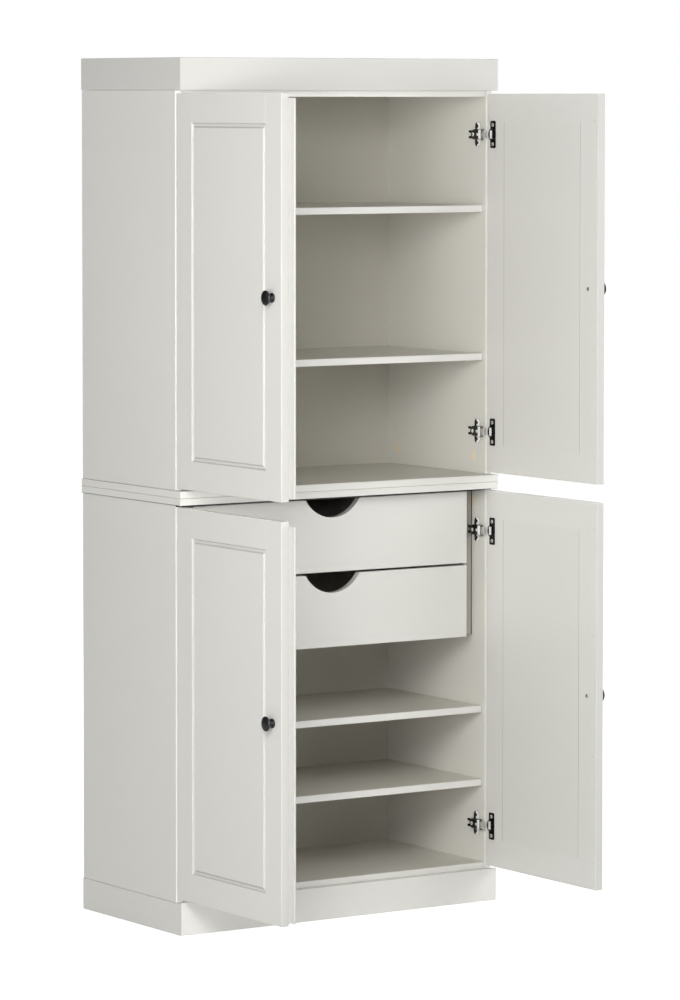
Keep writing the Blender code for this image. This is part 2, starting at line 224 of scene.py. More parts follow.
def black_metal(name, rough):
    """Black powder coat over turned metal; the same near black also serves as painted shade in gaps, hinge cups and
    screw recesses.
    """
    SEED[0] += 1
    shift = (SEED[0] * 0.5, SEED[0] * 0.2, SEED[0] * 1.1)
    g = Graph(name)
    speck = g.noise(g.mapped((1, 1, 1), shift), 1800.0, 3.0)
    cloud = g.noise(g.mapped((1, 1, 1), shift), 120.0, 2.0)
    tone = g.mix(g.ramp(cloud, 0.3, 0.7), (0.0065, 0.0065, 0.007), (0.012, 0.0118, 0.012))
    g.link(tone, g.shader.inputs["Base Color"])
    g.link(g.ramp(speck, 0.3, 0.7, rough - 0.05, rough + 0.07), g.shader.inputs["Roughness"])
    g.link(g.bump(speck, 0.10, 0.00015), g.shader.inputs["Normal"])
    g.shader.inputs["Coat Weight"].default_value = 0.25
    g.shader.inputs["Coat Roughness"].default_value = 0.18
    return g.mat


def raw_board(name):
    """Uncoated particle board: pale chips of several tones."""
    g = Graph(name)
    cells = g.add("ShaderNodeTexVoronoi")
    cells.inputs["Scale"].default_value = 620.0
    g.link(g.mapped((1, 1, 0.45)), cells.inputs["Vector"])
    tone = g.mix(g.ramp(cells.outputs["Distance"], 0.0, 0.9), srgb(245, 232, 206), srgb(234, 216, 182))
    g.link(tone, g.shader.inputs["Base Color"])
    grain = g.noise(g.mapped((1, 1, 0.4)), 900.0, 3.0)
    g.link(g.ramp(grain, 0.3, 0.7, 0.75, 0.9), g.shader.inputs["Roughness"])
    g.link(g.bump(cells.outputs["Distance"], 0.3, 0.0004), g.shader.inputs["Normal"])
    return g.mat


def plugged(name, low, high):
    """The pale, slightly rough mouth of a small drilled hole in coated board."""
    g = Graph(name)
    grain = g.noise(g.mapped((1, 1, 1)), 1500.0, 2.0)
    g.link(g.mix(g.ramp(grain, 0.3, 0.7), low, high), g.shader.inputs["Base Color"])
    g.link(g.ramp(grain, 0.3, 0.7, 0.7, 0.9), g.shader.inputs["Roughness"])
    return g.mat


# -------------------------------------------------------------------- geometry
def keep(name, bm, matrix, material, body, smooth=None, replaces=()):
    """Makes a piece from a bmesh built in local coordinates, and lets it ride."""
    bm.transform(matrix)
    bmesh.ops.remove_doubles(bm, verts=bm.verts, dist=1e-7)
    bmesh.ops.recalc_face_normals(bm, faces=bm.faces)
    mesh = bpy.data.meshes.new(name)
    bm.to_mesh(mesh)
    bm.free()
    if smooth is not None:
        mesh.shade_smooth()
        mesh.set_sharp_from_angle(angle=math.radians(smooth))
    obj = bpy.data.objects.new(name, mesh)
    bpy.context.scene.collection.objects.link(obj)
    mesh.materials.append(material)
    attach(obj, body)
    if replaces:
        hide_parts(*replaces)
    return obj


def add_box(bm, lo, hi):
    """Adds a box and returns its new vertices."""
    made = bmesh.ops.create_cube(bm, size=1.0)["verts"]
    lo, hi = Vector(lo), Vector(hi)
    for v in made:
        v.co = Vector(
            (lo[i] + (v.co[i] + 0.5) * (hi[i] - lo[i]) for i in range(3))
        )
    return made


def edges_where(bm, test, verts=None):
    pool = set(verts) if verts else None
    return [
        e for e in bm.edges
        if (pool is None or (e.verts[0] in pool and e.verts[1] in pool)) and test(e.verts[0].co, e.verts[1].co)
    ]


def bevel(bm, edges, width, segments=2, profile=0.5):
    if edges:
        bmesh.ops.bevel(
            bm, geom=edges, offset=width, offset_type="OFFSET", segments=segments, profile=profile,
            affect="EDGES", clamp_overlap=True,
        )


def near(a, b, tol=1e-6):
    return abs(a - b) < tol


def rounded(bm, lo, hi, width, segments=3):
    """A box with all its edges rounded."""
    verts = add_box(bm, lo, hi)
    bevel(bm, edges_where(bm, lambda a, b: True, verts), width, segments)


def lathe(bm, profile, centre, axis="w", segments=48):
    """Turns (along, radius) points round an axis through centre. The axis is coordinate 0, 1 or 2."""
    index = {"u": 0, "w": 1, "h": 2}[axis]
    others = [i for i in range(3) if i != index]
    rings = []
    for along, radius in profile:
        ring = []
        if radius < 1e-9:
            co = list(centre)
            co[index] += along
            ring = [bm.verts.new(co)]
        else:
            for k in range(segments):
                a = 2 * math.pi * k / segments
                co = list(centre)
                co[index] += along
                co[others[0]] += radius * math.cos(a)
                co[others[1]] += radius * math.sin(a)
                ring.append(bm.verts.new(co))
        rings.append(ring)
    for a, b in zip(rings, rings[1:]):
        for k in range(segments):
            n = (k + 1) % segments
            if len(a) == 1 and len(b) == 1:
                continue
            if len(a) == 1:
                bm.faces.new((a[0], b[k], b[n]))
            elif len(b) == 1:
                bm.faces.new((a[k], a[n], b[0]))
            else:
                bm.faces.new((a[k], a[n], b[n], b[k]))
    for ring in (rings[0], rings[-1]):
        if len(ring) > 1:
            bm.faces.new(ring)


def prism(bm, outline, low, high, plane=(0, 2), along=1):
    """Extrudes a 2-D outline, given in the two plane coordinates, from low to high."""
    loops = []
    for level in (low, high):
        loop = []
        for a, b in outline:
            co = [0.0, 0.0, 0.0]
            co[plane[0]], co[plane[1]], co[along] = a, b, level
            loop.append(bm.verts.new(co))
        loops.append(loop)
    n = len(outline)
    faces = [bm.faces.new(loops[0]), bm.faces.new(loops[1][::-1])]
    for k in range(n):
        m = (k + 1) % n
        faces.append(bm.faces.new((loops[0][k], loops[1][k], loops[1][m], loops[0][m])))
    return loops, faces


def soft_prism(bm, outline, low, high, plane=(0, 2), along=1, ease=0.0003, side=1):
    """A prism whose outline edges are eased on one or both ends. side 1 eases the high end, -1 the low end, 0 both."""
    loops, _ = prism(bm, outline, low, high, plane, along)
    rims = []
    if side >= 0:
        rims.append(loops[1])
    if side <= 0:
        rims.append(loops[0])
    edges = []
    for loop in rims:
        ring = set(loop)
        edges += [e for e in bm.edges if e.verts[0] in ring and e.verts[1] in ring]
    bevel(bm, edges, ease, 2)


def round_outline(w, h, r, cx=0.0, cy=0.0, n=6):
    """A rectangle with rounded corners, centred on (cx, cy)."""
    pts = []
    for sx, sy, start in ((1, 1, 0), (-1, 1, 90), (-1, -1, 180), (1, -1, 270)):
        for k in range(n + 1):
            a = math.radians(start + 90 * k / n)
            pts.append((cx + sx * (w / 2 - r) + r * math.cos(a), cy + sy * (h / 2 - r) + r * math.sin(a)))
    return pts


def loft(bm, sections):
    """Skins closed sections of equal length and caps both ends."""
    rows = [[bm.verts.new(co) for co in section] for section in sections]
    n = len(rows[0])
    for a, b in zip(rows, rows[1:]):
        for k in range(n):
            m = (k + 1) % n
            bm.faces.new((a[k], a[m], b[m], b[k]))
    bm.faces.new(rows[0])
    bm.faces.new(rows[-1])


def screw(name, at, radius, height, axis, out, matrix, materials, body, replaces=()):
    """A pan-head screw: a turned head in the first material and, in the second, a cross laid on the head as painted
    shade for its recess.
    out is +1 or -1, the way the head faces along the axis."""
    r, t = radius, height * out
    bm = bmesh.new()
    lathe(
        bm, ((0.0, 0.0), (0.0, r), (t * 0.30, r), (t * 0.62, r * 0.93), (t * 0.86, r * 0.76), (t, r * 0.50), (t, 0.0)),
        at, axis, 24,
    )
    keep(name + "_head", bm, matrix, materials[0], body, 50, replaces)
    index = {"u": 0, "w": 1, "h": 2}[axis]
    plane = [i for i in range(3) if i != index]
    arm, width = r * 0.47, r * 0.15
    plus = [
        (arm, width), (width, width), (width, arm), (-width, arm), (-width, width), (-arm, width),
        (-arm, -width), (-width, -width), (-width, -arm), (width, -arm), (width, -width), (arm, -width),
    ]
    turn = math.radians(31 + 7 * len(name))
    outline = []
    for x, y in plus:
        outline.append((
            at[plane[0]] + x * math.cos(turn) - y * math.sin(turn), at[plane[1]] + x * math.sin(turn) + y * math.cos(turn),
        ))
    bm = bmesh.new()
    prism(bm, outline, at[index] + t * 0.7, at[index] + t * 1.03, tuple(plane), index)
    keep(name + "_cross", bm, matrix, materials[1], body, None, replaces)


# -------------------------------------------------------------- board finishes
ALONG = {
    "top_panel": "x", "cornice_front": "x", "upper_floor_board": "x", "lower_top_board": "x",
    "lower_floor_board": "x", "plinth_front": "x", "plinth_back_rail": "x",
    "upper_shelf_top": "x", "upper_shelf_bottom": "x", "lower_shelf_top": "x", "lower_shelf_bottom": "x",
    "cornice_side_left": "y", "cornice_side_right": "y", "plinth_side_left": "y", "plinth_side_right": "y",
    "drawer_front_top": "x", "drawer_front_bottom": "x",
}


def assign(name, material):
    mesh = NODES[name].data
    mesh.materials.clear()
    mesh.materials.append(material)
    for poly in mesh.polygons:
        poly.material_index = 0


INSIDE = tint(WHITE, (0.98, 0.963, 0.925))      # the carcass's inner faces, a little warmer
BACKING = tint(WHITE, (0.88, 0.862, 0.815))
FRONT_EDGE_LIT = tint(WHITE, (1.10, 1.10, 1.105))       # front edges with their edge banding, painted a tenth lighter: painted light


def assign_faces(name, materials, choose):
    """Gives each face the material that choose(normal, centre) picks by its index."""
    mesh = NODES[name].data
    mesh.materials.clear()
    for material in materials:
        mesh.materials.append(material)
    turn = NODES[name].matrix_world.to_3x3()
    for poly in mesh.polygons:
        poly.material_index = choose(turn @ poly.normal, NODES[name].matrix_world @ poly.center)


for name in NODES:
    along = ALONG.get(name, "z")
    if name.startswith(("door_", "knob_", "hinge_")):
        continue
    if "back_panel" in name:
        assign(name, hardboard("finish_" + name, BACKING))
    elif name.startswith("drawer_base"):
        assign(name, hardboard("finish_" + name, BACKING))
    elif name.startswith("cover_strip"):
        assign(name, coated("finish_" + name, tint(WHITE, (0.87, 0.87, 0.87)), 0.42, "z", 0.1))
    elif name.startswith(("upper_side", "lower_side")):
        inward = 1 if name.endswith("left") else -1
        # Painted light: the inner faces are painted a little lighter and warmer than the outer one, and the front edge
        # a fifth lighter as a painted highlight.
        trio = [
            coated("finish_" + name, WHITE, 0.42, "z", 0.3), coated("inner_" + name, tint(WHITE, (1.02, 1.005, 0.98)), 0.44, "z", 0.3),
            coated("edge_" + name, tint(WHITE, (1.22, 1.22, 1.22)), 0.40, "z", 0.2),
        ]
        assign_faces(name, trio, lambda n, c, inward=inward: 1 if n.x * inward > 0.7 else 2 if n.y < -0.5 else 0)
    elif name in ("upper_floor_board", "lower_top_board"):
        trio = [
            coated("edge_" + name, tint(WHITE, (1.01, 1.01, 1.01)), 0.44, "x", 0.2), coated("finish_" + name, INSIDE, 0.44, "x", 0.3),
            coated("under_" + name, tint(WHITE, (0.16, 0.155, 0.15)), 0.6, "x", 0.2),
        ]
        # Painted shade: the waist's lower board has its underside painted near black.
        dark = name == "lower_top_board"
        assign_faces(name, trio, lambda n, c, dark=dark: (2 if dark and n.z < 0 else 1) if abs(n.z) > 0.7 else 0)
    elif name in ("lower_floor_board", "top_panel") or "shelf" in name:
        # Painted light: the front edges are painted a tenth lighter than the tops and bottoms.
        pair = [coated("edge_" + name, FRONT_EDGE_LIT, 0.42, "x", 0.2), coated("finish_" + name, INSIDE, 0.44, "x", 0.3)]
        assign_faces(name, pair, lambda n, c: int(abs(n.z) > 0.7))
    elif name.startswith("cornice"):
        # Painted shade: the cornice is painted a tenth darker than the other boards.
        assign(name, coated("finish_" + name, tint(WHITE, (0.90, 0.90, 0.90)), 0.50, along, 0.3))
    elif name == "plinth_front" or name.startswith("drawer_front"):
        # Painted light: the plinth and drawer fronts are painted a little lighter than the other boards.
        assign(name, coated("finish_" + name, tint(WHITE, (1.05, 1.05, 1.05)), 0.42, along, 0.3))
    elif name.startswith("drawer_guide"):
        # Painted shade: the guide's front face is painted darker, for the shade beside the drawers.
        pair = [coated("finish_" + name, INSIDE, 0.5, "z", 0.2), coated("edge_" + name, tint(WHITE, (0.82, 0.80, 0.76)), 0.5, "z", 0.2)]
        assign_faces(name, pair, lambda n, c: int(n.y < -0.7))
    elif name.startswith("drawer_wrap"):
        assign(name, coated("finish_" + name, INSIDE, 0.5, along, 0.2))
    else:
        assign(name, coated("finish_" + name, WHITE, 0.42, along, 0.3))


# ----------------------------------------------------------------------- doors
def door_member(bm, lo, hi, seams, sharp=(), ease=0.0008, seam=0.0013):
    """A stile or rail: eased all round, with a wider chamfer along the named outer-face edges.
    seams lists 'u0', 'u1', 'h0' or 'h1', the sides of the outer face that get the chamfer."""
    verts = add_box(bm, lo, hi)
    pick = {"u0": (0, lo[0]), "u1": (0, hi[0]), "h0": (2, lo[2]), "h1": (2, hi[2])}
    wide, fine = [], []
    for e in edges_where(bm, lambda a, b: True, verts):
        a, b = e.verts[0].co, e.verts[1].co
        on = [k for k, (i, v) in pick.items() if near(a[i], v) and near(b[i], v)]
        outer = near(a.y, lo[1]) and near(b.y, lo[1])
        if outer and any(k in seams for k in on):
            wide.append(e)
        elif any(k in seams or k in sharp for k in on):
            continue
        else:
            fine.append(e)
    bevel(bm, fine, ease, 2)
    wide = [e for e in bm.edges if e.is_valid and near(e.verts[0].co.y, lo[1]) and near(e.verts[1].co.y, lo[1])
            and any(near(e.verts[0].co[pick[k][0]], pick[k][1]) and near(e.verts[1].co[pick[k][0]], pick[k][1]) for k in seams)]
    bevel(bm, wide, seam, 1)


HINGE_INSET = 0.0870
CUP_U, FLANGE_U = 0.0174, 0.0214


def bore(member, matrix):
    """Cuts the two hinge cup bores into a stile's rear face."""
    bm = bmesh.new()
    for h in (HINGE_INSET, DOOR_H - HINGE_INSET):
        lathe(bm, ((-0.0121, 0.0), (-0.0121, 0.01315), (0.0050, 0.01315), (0.0050, 0.0)), (CUP_U, DOOR_T, h), "w", 48)
    bm.transform(matrix)
    bmesh.ops.recalc_face_normals(bm, faces=bm.faces)
    mesh = bpy.data.meshes.new("bore")
    bm.to_mesh(mesh)
    bm.free()
    cutter = bpy.data.objects.new("bore", mesh)
    bpy.context.scene.collection.objects.link(cutter)
    cut = member.modifiers.new("bore", "BOOLEAN")
    cut.operation, cut.solver, cut.object = "DIFFERENCE", "EXACT", cutter
    bpy.context.view_layer.update()
    done = bpy.data.meshes.new_from_object(member.evaluated_get(bpy.context.evaluated_depsgraph_get()))
    member.modifiers.clear()
    if len(done.polygons) > len(member.data.polygons):
        member.data = done
    bpy.data.objects.remove(cutter)


# (distance in from the frame, depth behind the outer face)
MOULDING = (
    (0.0000, 0.0013), (0.0006, 0.0019), (0.0016, 0.0027), (0.0024, 0.0030), (0.0062, 0.0030),
    (0.0070, 0.0028), (0.0079, 0.0021), (0.0092, 0.0009), (0.0098, 0.0005), (0.0106, 0.0004),
)


def moulded_panel(bm):
    gap = 0.0001
    u0, u1 = STILE + gap, DOOR_W - STILE - gap
    h0, h1 = RAIL + gap, DOOR_H - RAIL - gap
    levels = [(u0 + t, u1 - t, h0 + t, h1 - t, w) for t, w in MOULDING]

    def loop(a0, a1, b0, b1, w):
        return [bm.verts.new((u, w, h)) for u, h in ((a0, b0), (a1, b0), (a1, b1), (a0, b1))]

    def skin(rows):
        for a, b in zip(rows, rows[1:]):
            for k in range(4):
                m = (k + 1) % 4
                bm.faces.new((a[k], a[m], b[m], b[k]))

    front = [loop(*row) for row in levels]
    skin(front)
    bm.faces.new(front[-1])
    rear = [front[0], loop(u0, u1, h0, h1, DOOR_T - 0.00002)]
    skin(rear)
    bm.faces.new(rear[-1])


KNOB_U = DOOR_W - 0.0320
KNOB_PROFILE = (
    (-0.0205, 0.0000), (-0.0205, 0.0025), (-0.0204, 0.0048), (-0.0201, 0.0072), (-0.0197, 0.0094),
    (-0.0191, 0.0116), (-0.0184, 0.0134), (-0.0176, 0.0146), (-0.0167, 0.0152), (-0.0159, 0.0151),
    (-0.0151, 0.0144), (-0.0142, 0.0128), (-0.0132, 0.0108), (-0.0120, 0.0088), (-0.0106, 0.0070),
    (-0.0092, 0.0059), (-0.0078, 0.0055), (-0.0066, 0.0056), (-0.0055, 0.0061), (-0.0046, 0.0067), (-0.0046, 0.0),
)
KNOB_BASE = (
    (-0.0045, 0.0000), (-0.0045, 0.0072), (-0.0044, 0.0082), (-0.0039, 0.0091), (-0.0029, 0.0096),
    (-0.0012, 0.0097), (-0.0003, 0.0097), (-0.0003, 0.0000),
)
STEEL = plated("finish_screw", (0.62, 0.61, 0.59), 0.24)
# Painted shade: a near-black cross stands in for the shade in each screw's recess.
RECESS_SHADE = black_metal("painted_shade_recess", 0.6)
PILOT = plugged("finish_pilot", srgb(190, 186, 175), srgb(202, 198, 187))
PIN_HOLE = plugged("finish_pin_hole", srgb(220, 213, 188), srgb(232, 225, 200))
# Painted shade and highlight: the dark strips mark the joints between stile and panel on the doors' inner faces,
# darkened further as painted shade for the step there; the lit strip beside the free-side seam is a painted highlight.
SEAM = hardboard("finish_seam", tint(WHITE, (0.42, 0.42, 0.40)))
SEAM_LIT = coated("finish_seam_lit", tint(WHITE, (1.16, 1.16, 1.15)), 0.4, "z", 0.1)
# Painted light: the lower doors' up-facing faces are painted a third lighter than white.
TOP_EDGE_LIT = coated("painted_light_top_edge", tint(WHITE, (1.34, 1.34, 1.34)), 0.4, "y", 0.1)

for level in BASE:
    for side in SIDES:
        tag = f"{level}_{side}"
        body = "door_" + tag
        matrix = door_matrix(level, side)
        members = {
            "stile_hinge": ((0, 0, 0), (STILE, DOOR_T, DOOR_H), ("u1",), ()),
            "stile_free": ((DOOR_W - STILE, 0, 0), (DOOR_W, DOOR_T, DOOR_H), ("u0",), ()),
            "rail_bottom": ((STILE, 0, 0), (DOOR_W - STILE, DOOR_T, RAIL), ("u0", "u1"), ("h1",)),
            "rail_top": ((STILE, 0, DOOR_H - RAIL), (DOOR_W - STILE, DOOR_T, DOOR_H), ("u0", "u1"), ("h0",)),
        }
        for word, (lo, hi, seams, sharp) in members.items():
            bm = bmesh.new()
            door_member(bm, lo, hi, seams, sharp)
            finish = coated(f"finish_{word}_{tag}", WHITE, 0.40, "z" if "stile" in word else "y", 0.2, coat=0.08)
            member = keep(f"{word}_{tag}", bm, matrix, finish, body, replaces=(f"door_frame_{tag}",))
            if word == "stile_hinge":
                bore(member, matrix)
            if word == "stile_free":
                # Painted shade: the free edge's end face is painted darker, more on the right doors than on the left.
                gain = 0.84 if side == "right" else 0.92
                member.data.materials.append(coated(f"edge_{tag}", tint(WHITE, (gain, gain, gain)), 0.5, "z", 0.2))
                end = (matrix @ Vector((DOOR_W, 0, 0))).y
                for poly in member.data.polygons:
                    if all(abs(member.data.vertices[v].co.y - end) < 0.0002 for v in poly.vertices):
                        poly.material_index = 1
            # Painted light on the lower doors' up-facing faces.
            if level == "lower" and word != "rail_bottom":
                member.data.materials.append(TOP_EDGE_LIT)
                last = len(member.data.materials) - 1
                for poly in member.data.polygons:
                    if poly.normal.z > 0.35:
                        poly.material_index = last
        bm = bmesh.new()
        moulded_panel(bm)
        finish = coated(f"finish_panel_{tag}", WHITE, 0.40, "z", 0.2, coat=0.08)
        panel = keep(f"panel_{tag}", bm, matrix, finish, body, replaces=(f"door_panel_{tag}",))
        # Painted light and shade on the moulding: faces along the top and bottom runs are painted darker, the upright
        # slopes a little darker and the upright beds a little lighter.
        for word, gain in (("slope_across", 0.74), ("slope_upright", 0.88), ("bed_across", 0.90), ("bed_upright", 1.05)):
            panel.data.materials.append(coated(f"{word}_{tag}", tint(WHITE, (gain, gain, gain)), 0.5, "z", 0.1))
        for poly in panel.data.polygons:
            u, h = DOOR_Y - poly.center.y, poly.center.z - BASE[level]
            across = min(h - RAIL, DOOR_H - RAIL - h) < 0.0112
            upright = min(u - STILE, DOOR_W - STILE - u) < 0.0112
            if abs(poly.normal.x) > 0.1 and (across or upright):
                poly.material_index = (1 if abs(poly.normal.x) < 0.96 else 3) + (0 if across else 1)

        knob_h = DOOR_H / 2
        bm = bmesh.new()
        lathe(bm, KNOB_PROFILE, (KNOB_U, 0, knob_h), "w", 56)
        keep(f"knob_turned_{tag}", bm, matrix, black_metal(f"finish_knob_{tag}", 0.30), body, 40, (f"knob_{tag}",))
        bm = bmesh.new()
        lathe(bm, KNOB_BASE, (KNOB_U, 0, knob_h), "w", 56)
        keep(f"knob_rose_{tag}", bm, matrix, black_metal(f"finish_rose_{tag}", 0.34), body, 40, (f"knob_{tag}",))

        screw(
            f"knob_screw_{tag}", (KNOB_U, DOOR_T + 0.0001, knob_h), 0.0042, 0.0016, "w", 1, matrix, (STEEL, RECESS_SHADE), body,
        )
        # Dark joint strips with painted shade, and a painted highlight strip beside the free one.
        for word, u, half in (("hinge", STILE_IN, 0.00035), ("free", DOOR_W - STILE_IN, 0.00060)):
            bm = bmesh.new()
            add_box(bm, (u - half, DOOR_T - 0.0004, RAIL), (u + half, DOOR_T + 0.00008, DOOR_H - RAIL))
            keep(f"seam_{word}_{tag}", bm, matrix, SEAM, body)
            if word == "free":
                bm = bmesh.new()
                add_box(bm, (u + half, DOOR_T - 0.0004, RAIL), (u + half + 0.0012, DOOR_T + 0.00008, DOOR_H - RAIL))
                keep(f"seam_lit_{tag}", bm, matrix, SEAM_LIT, body)
        if side == "right":
            for k, h in enumerate((0.0556, 0.2790, DOOR_H - 0.2790, DOOR_H - 0.0556)):
                bm = bmesh.new()
                lathe(bm, ((-0.0001, 0.0), (-0.0001, 0.0017), (0.00012, 0.0015), (0.00012, 0.0)), (DOOR_W - 0.0110, DOOR_T, h), "w", 16)
                keep(f"pilot_{tag}_{k}", bm, matrix, PILOT, body)

# --------------------------------------------------------------------- hinges
# Painted reflection: the hinge steel is near black and the arm dark grey, standing in for the dark cabinet inside that
# polished plating reflects.
NICKEL = plated("finish_nickel", (0.030, 0.029, 0.028), 0.20)
NICKEL_ARM = plated("finish_nickel_arm", (0.12, 0.118, 0.114), 0.22)
# Painted highlight: a pale, barely metallic nickel for the fronts of the plate and arm, the arm screws and the cup's
# highlight bar.
NICKEL_HIGHLIGHT = plated("painted_highlight_nickel", (0.97, 0.965, 0.95), 0.50)
NICKEL_HIGHLIGHT.node_tree.nodes["Principled BSDF"].inputs["Metallic"].default_value = 0.10
# Painted reflection: a pale half-metallic nickel for the link parts and cup screws, standing in for the white boards
# they reflect.
NICKEL_PALE_REFLECTION = plated("painted_reflection_nickel", (0.62, 0.61, 0.59), 0.45)
NICKEL_PALE_REFLECTION.node_tree.nodes["Principled BSDF"].inputs["Metallic"].default_value = 0.4
# Painted shade: the hinge cup's bowl is a rough near black, for the shade inside the cup.
CUP_SHADE = black_metal("painted_shade_cup", 0.7)
CUP_SHADE.node_tree.nodes["Principled BSDF"].inputs["Coat Weight"].default_value = 0.0


def wing(bm, way):
    """One screw wing of the mounting plate: arched about the upright, with a round end."""
    centre, half = 0.0280, 0.0090
    sections = []
    for k in range(15):
        t = -1 + 2 * k / 14
        y = centre + half * 0.999 * t
        end = 0.01725 + math.sqrt(max(0.0, half * half - (y - centre) ** 2))
        top = 0.0156 + (0.0026 * (1 - 0.35 * t * t) if t > 0 else 0.0026 * (1 + t * 0.92))
        low = 0.0154
        sections.append([(low, y, way * 0.0070), (top, y, way * 0.0070), (top, y, way * (end - 0.0007)), (top - 0.0005 * (1 - t * t) - 0.0001, y, way * end), (low, y, way * end)])
    loft(bm, sections)


def channel(bm):
    """The hinge arm: a pressed channel with rolled shoulders that narrows at its rear."""
    thick, roll = 0.0012, 0.0026
    sections = []
    for y in (0.0002, 0.0008, 0.0040, 0.0090, 0.0140, 0.0190, 0.0240, 0.0280, 0.0300, 0.0320, 0.0340, 0.0360, 0.0374, 0.0380):
        fall = min(1.0, max(0.0, (y - 0.0290) / 0.0070))
        half = 0.0110 - 0.0022 * fall * fall * (3 - 2 * fall)
        top = 0.0290 - 0.0013 * ((y - 0.0170) / 0.0200) ** 2
        low = 0.0207
        outer = [(low, -half)]
        for k in range(5):
            a = math.radians(180 - 90 * k / 4)
            outer.append((top - roll + roll * math.sin(a), -half + roll + roll * math.cos(a)))
        for k in range(5):
            a = math.radians(90 - 90 * k / 4)
            outer.append((top - roll + roll * math.sin(a), half - roll + roll * math.cos(a)))
        outer.append((low, half))
        inner = [(low, half - thick)]
        r = roll - thick
        for k in range(5):
            a = math.radians(90 * k / 4)
            inner.append((top - roll + r * math.sin(a), half - roll + r * math.cos(a)))
        for k in range(5):
            a = math.radians(90 + 90 * k / 4)
            inner.append((top - roll + r * math.sin(a), -half + roll + r * math.cos(a)))
        inner.append((low, -half + thick))
        sections.append([(q, y, z) for q, z in outer + inner])
    loft(bm, sections)


def lit_side(obj, limit):
    """Gives the front of a pressed piece, ahead of the bend at y = limit, a pale painted highlight."""
    obj.data.materials.append(NICKEL_HIGHLIGHT)
    for poly in obj.data.polygons:
        if poly.center.y < limit and abs(poly.normal.x) > 0.6:
            poly.material_index = 1
    return obj


def flange_outline(h):
    """The cup's screw flange: a rounded plate with the cup's mouth cut from its near side."""
    half_w, half_h, r = 0.0093, 0.0290, 0.0028
    mouth = 0.0119
    near_side = FLANGE_U - half_w
    turn = math.acos((near_side - CUP_U) / mouth)
    pts = []
    for sx, sy, start in ((1, 1, 0), (-1, 1, 90)):
        for k in range(7):
            a = math.radians(start + 15 * k)
            pts.append((FLANGE_U + sx * (half_w - r) + r * math.cos(a), h + sy * (half_h - r) + r * math.sin(a)))
    for k in range(25):
        a = turn - 2 * turn * k / 24
        pts.append((CUP_U + mouth * math.cos(a), h + mouth * math.sin(a)))
    for sx, sy, start in ((-1, -1, 180), (1, -1, 270)):
        for k in range(7):
            a = math.radians(start + 15 * k)
            pts.append((FLANGE_U + sx * (half_w - r) + r * math.cos(a), h + sy * (half_h - r) + r * math.sin(a)))
    return pts


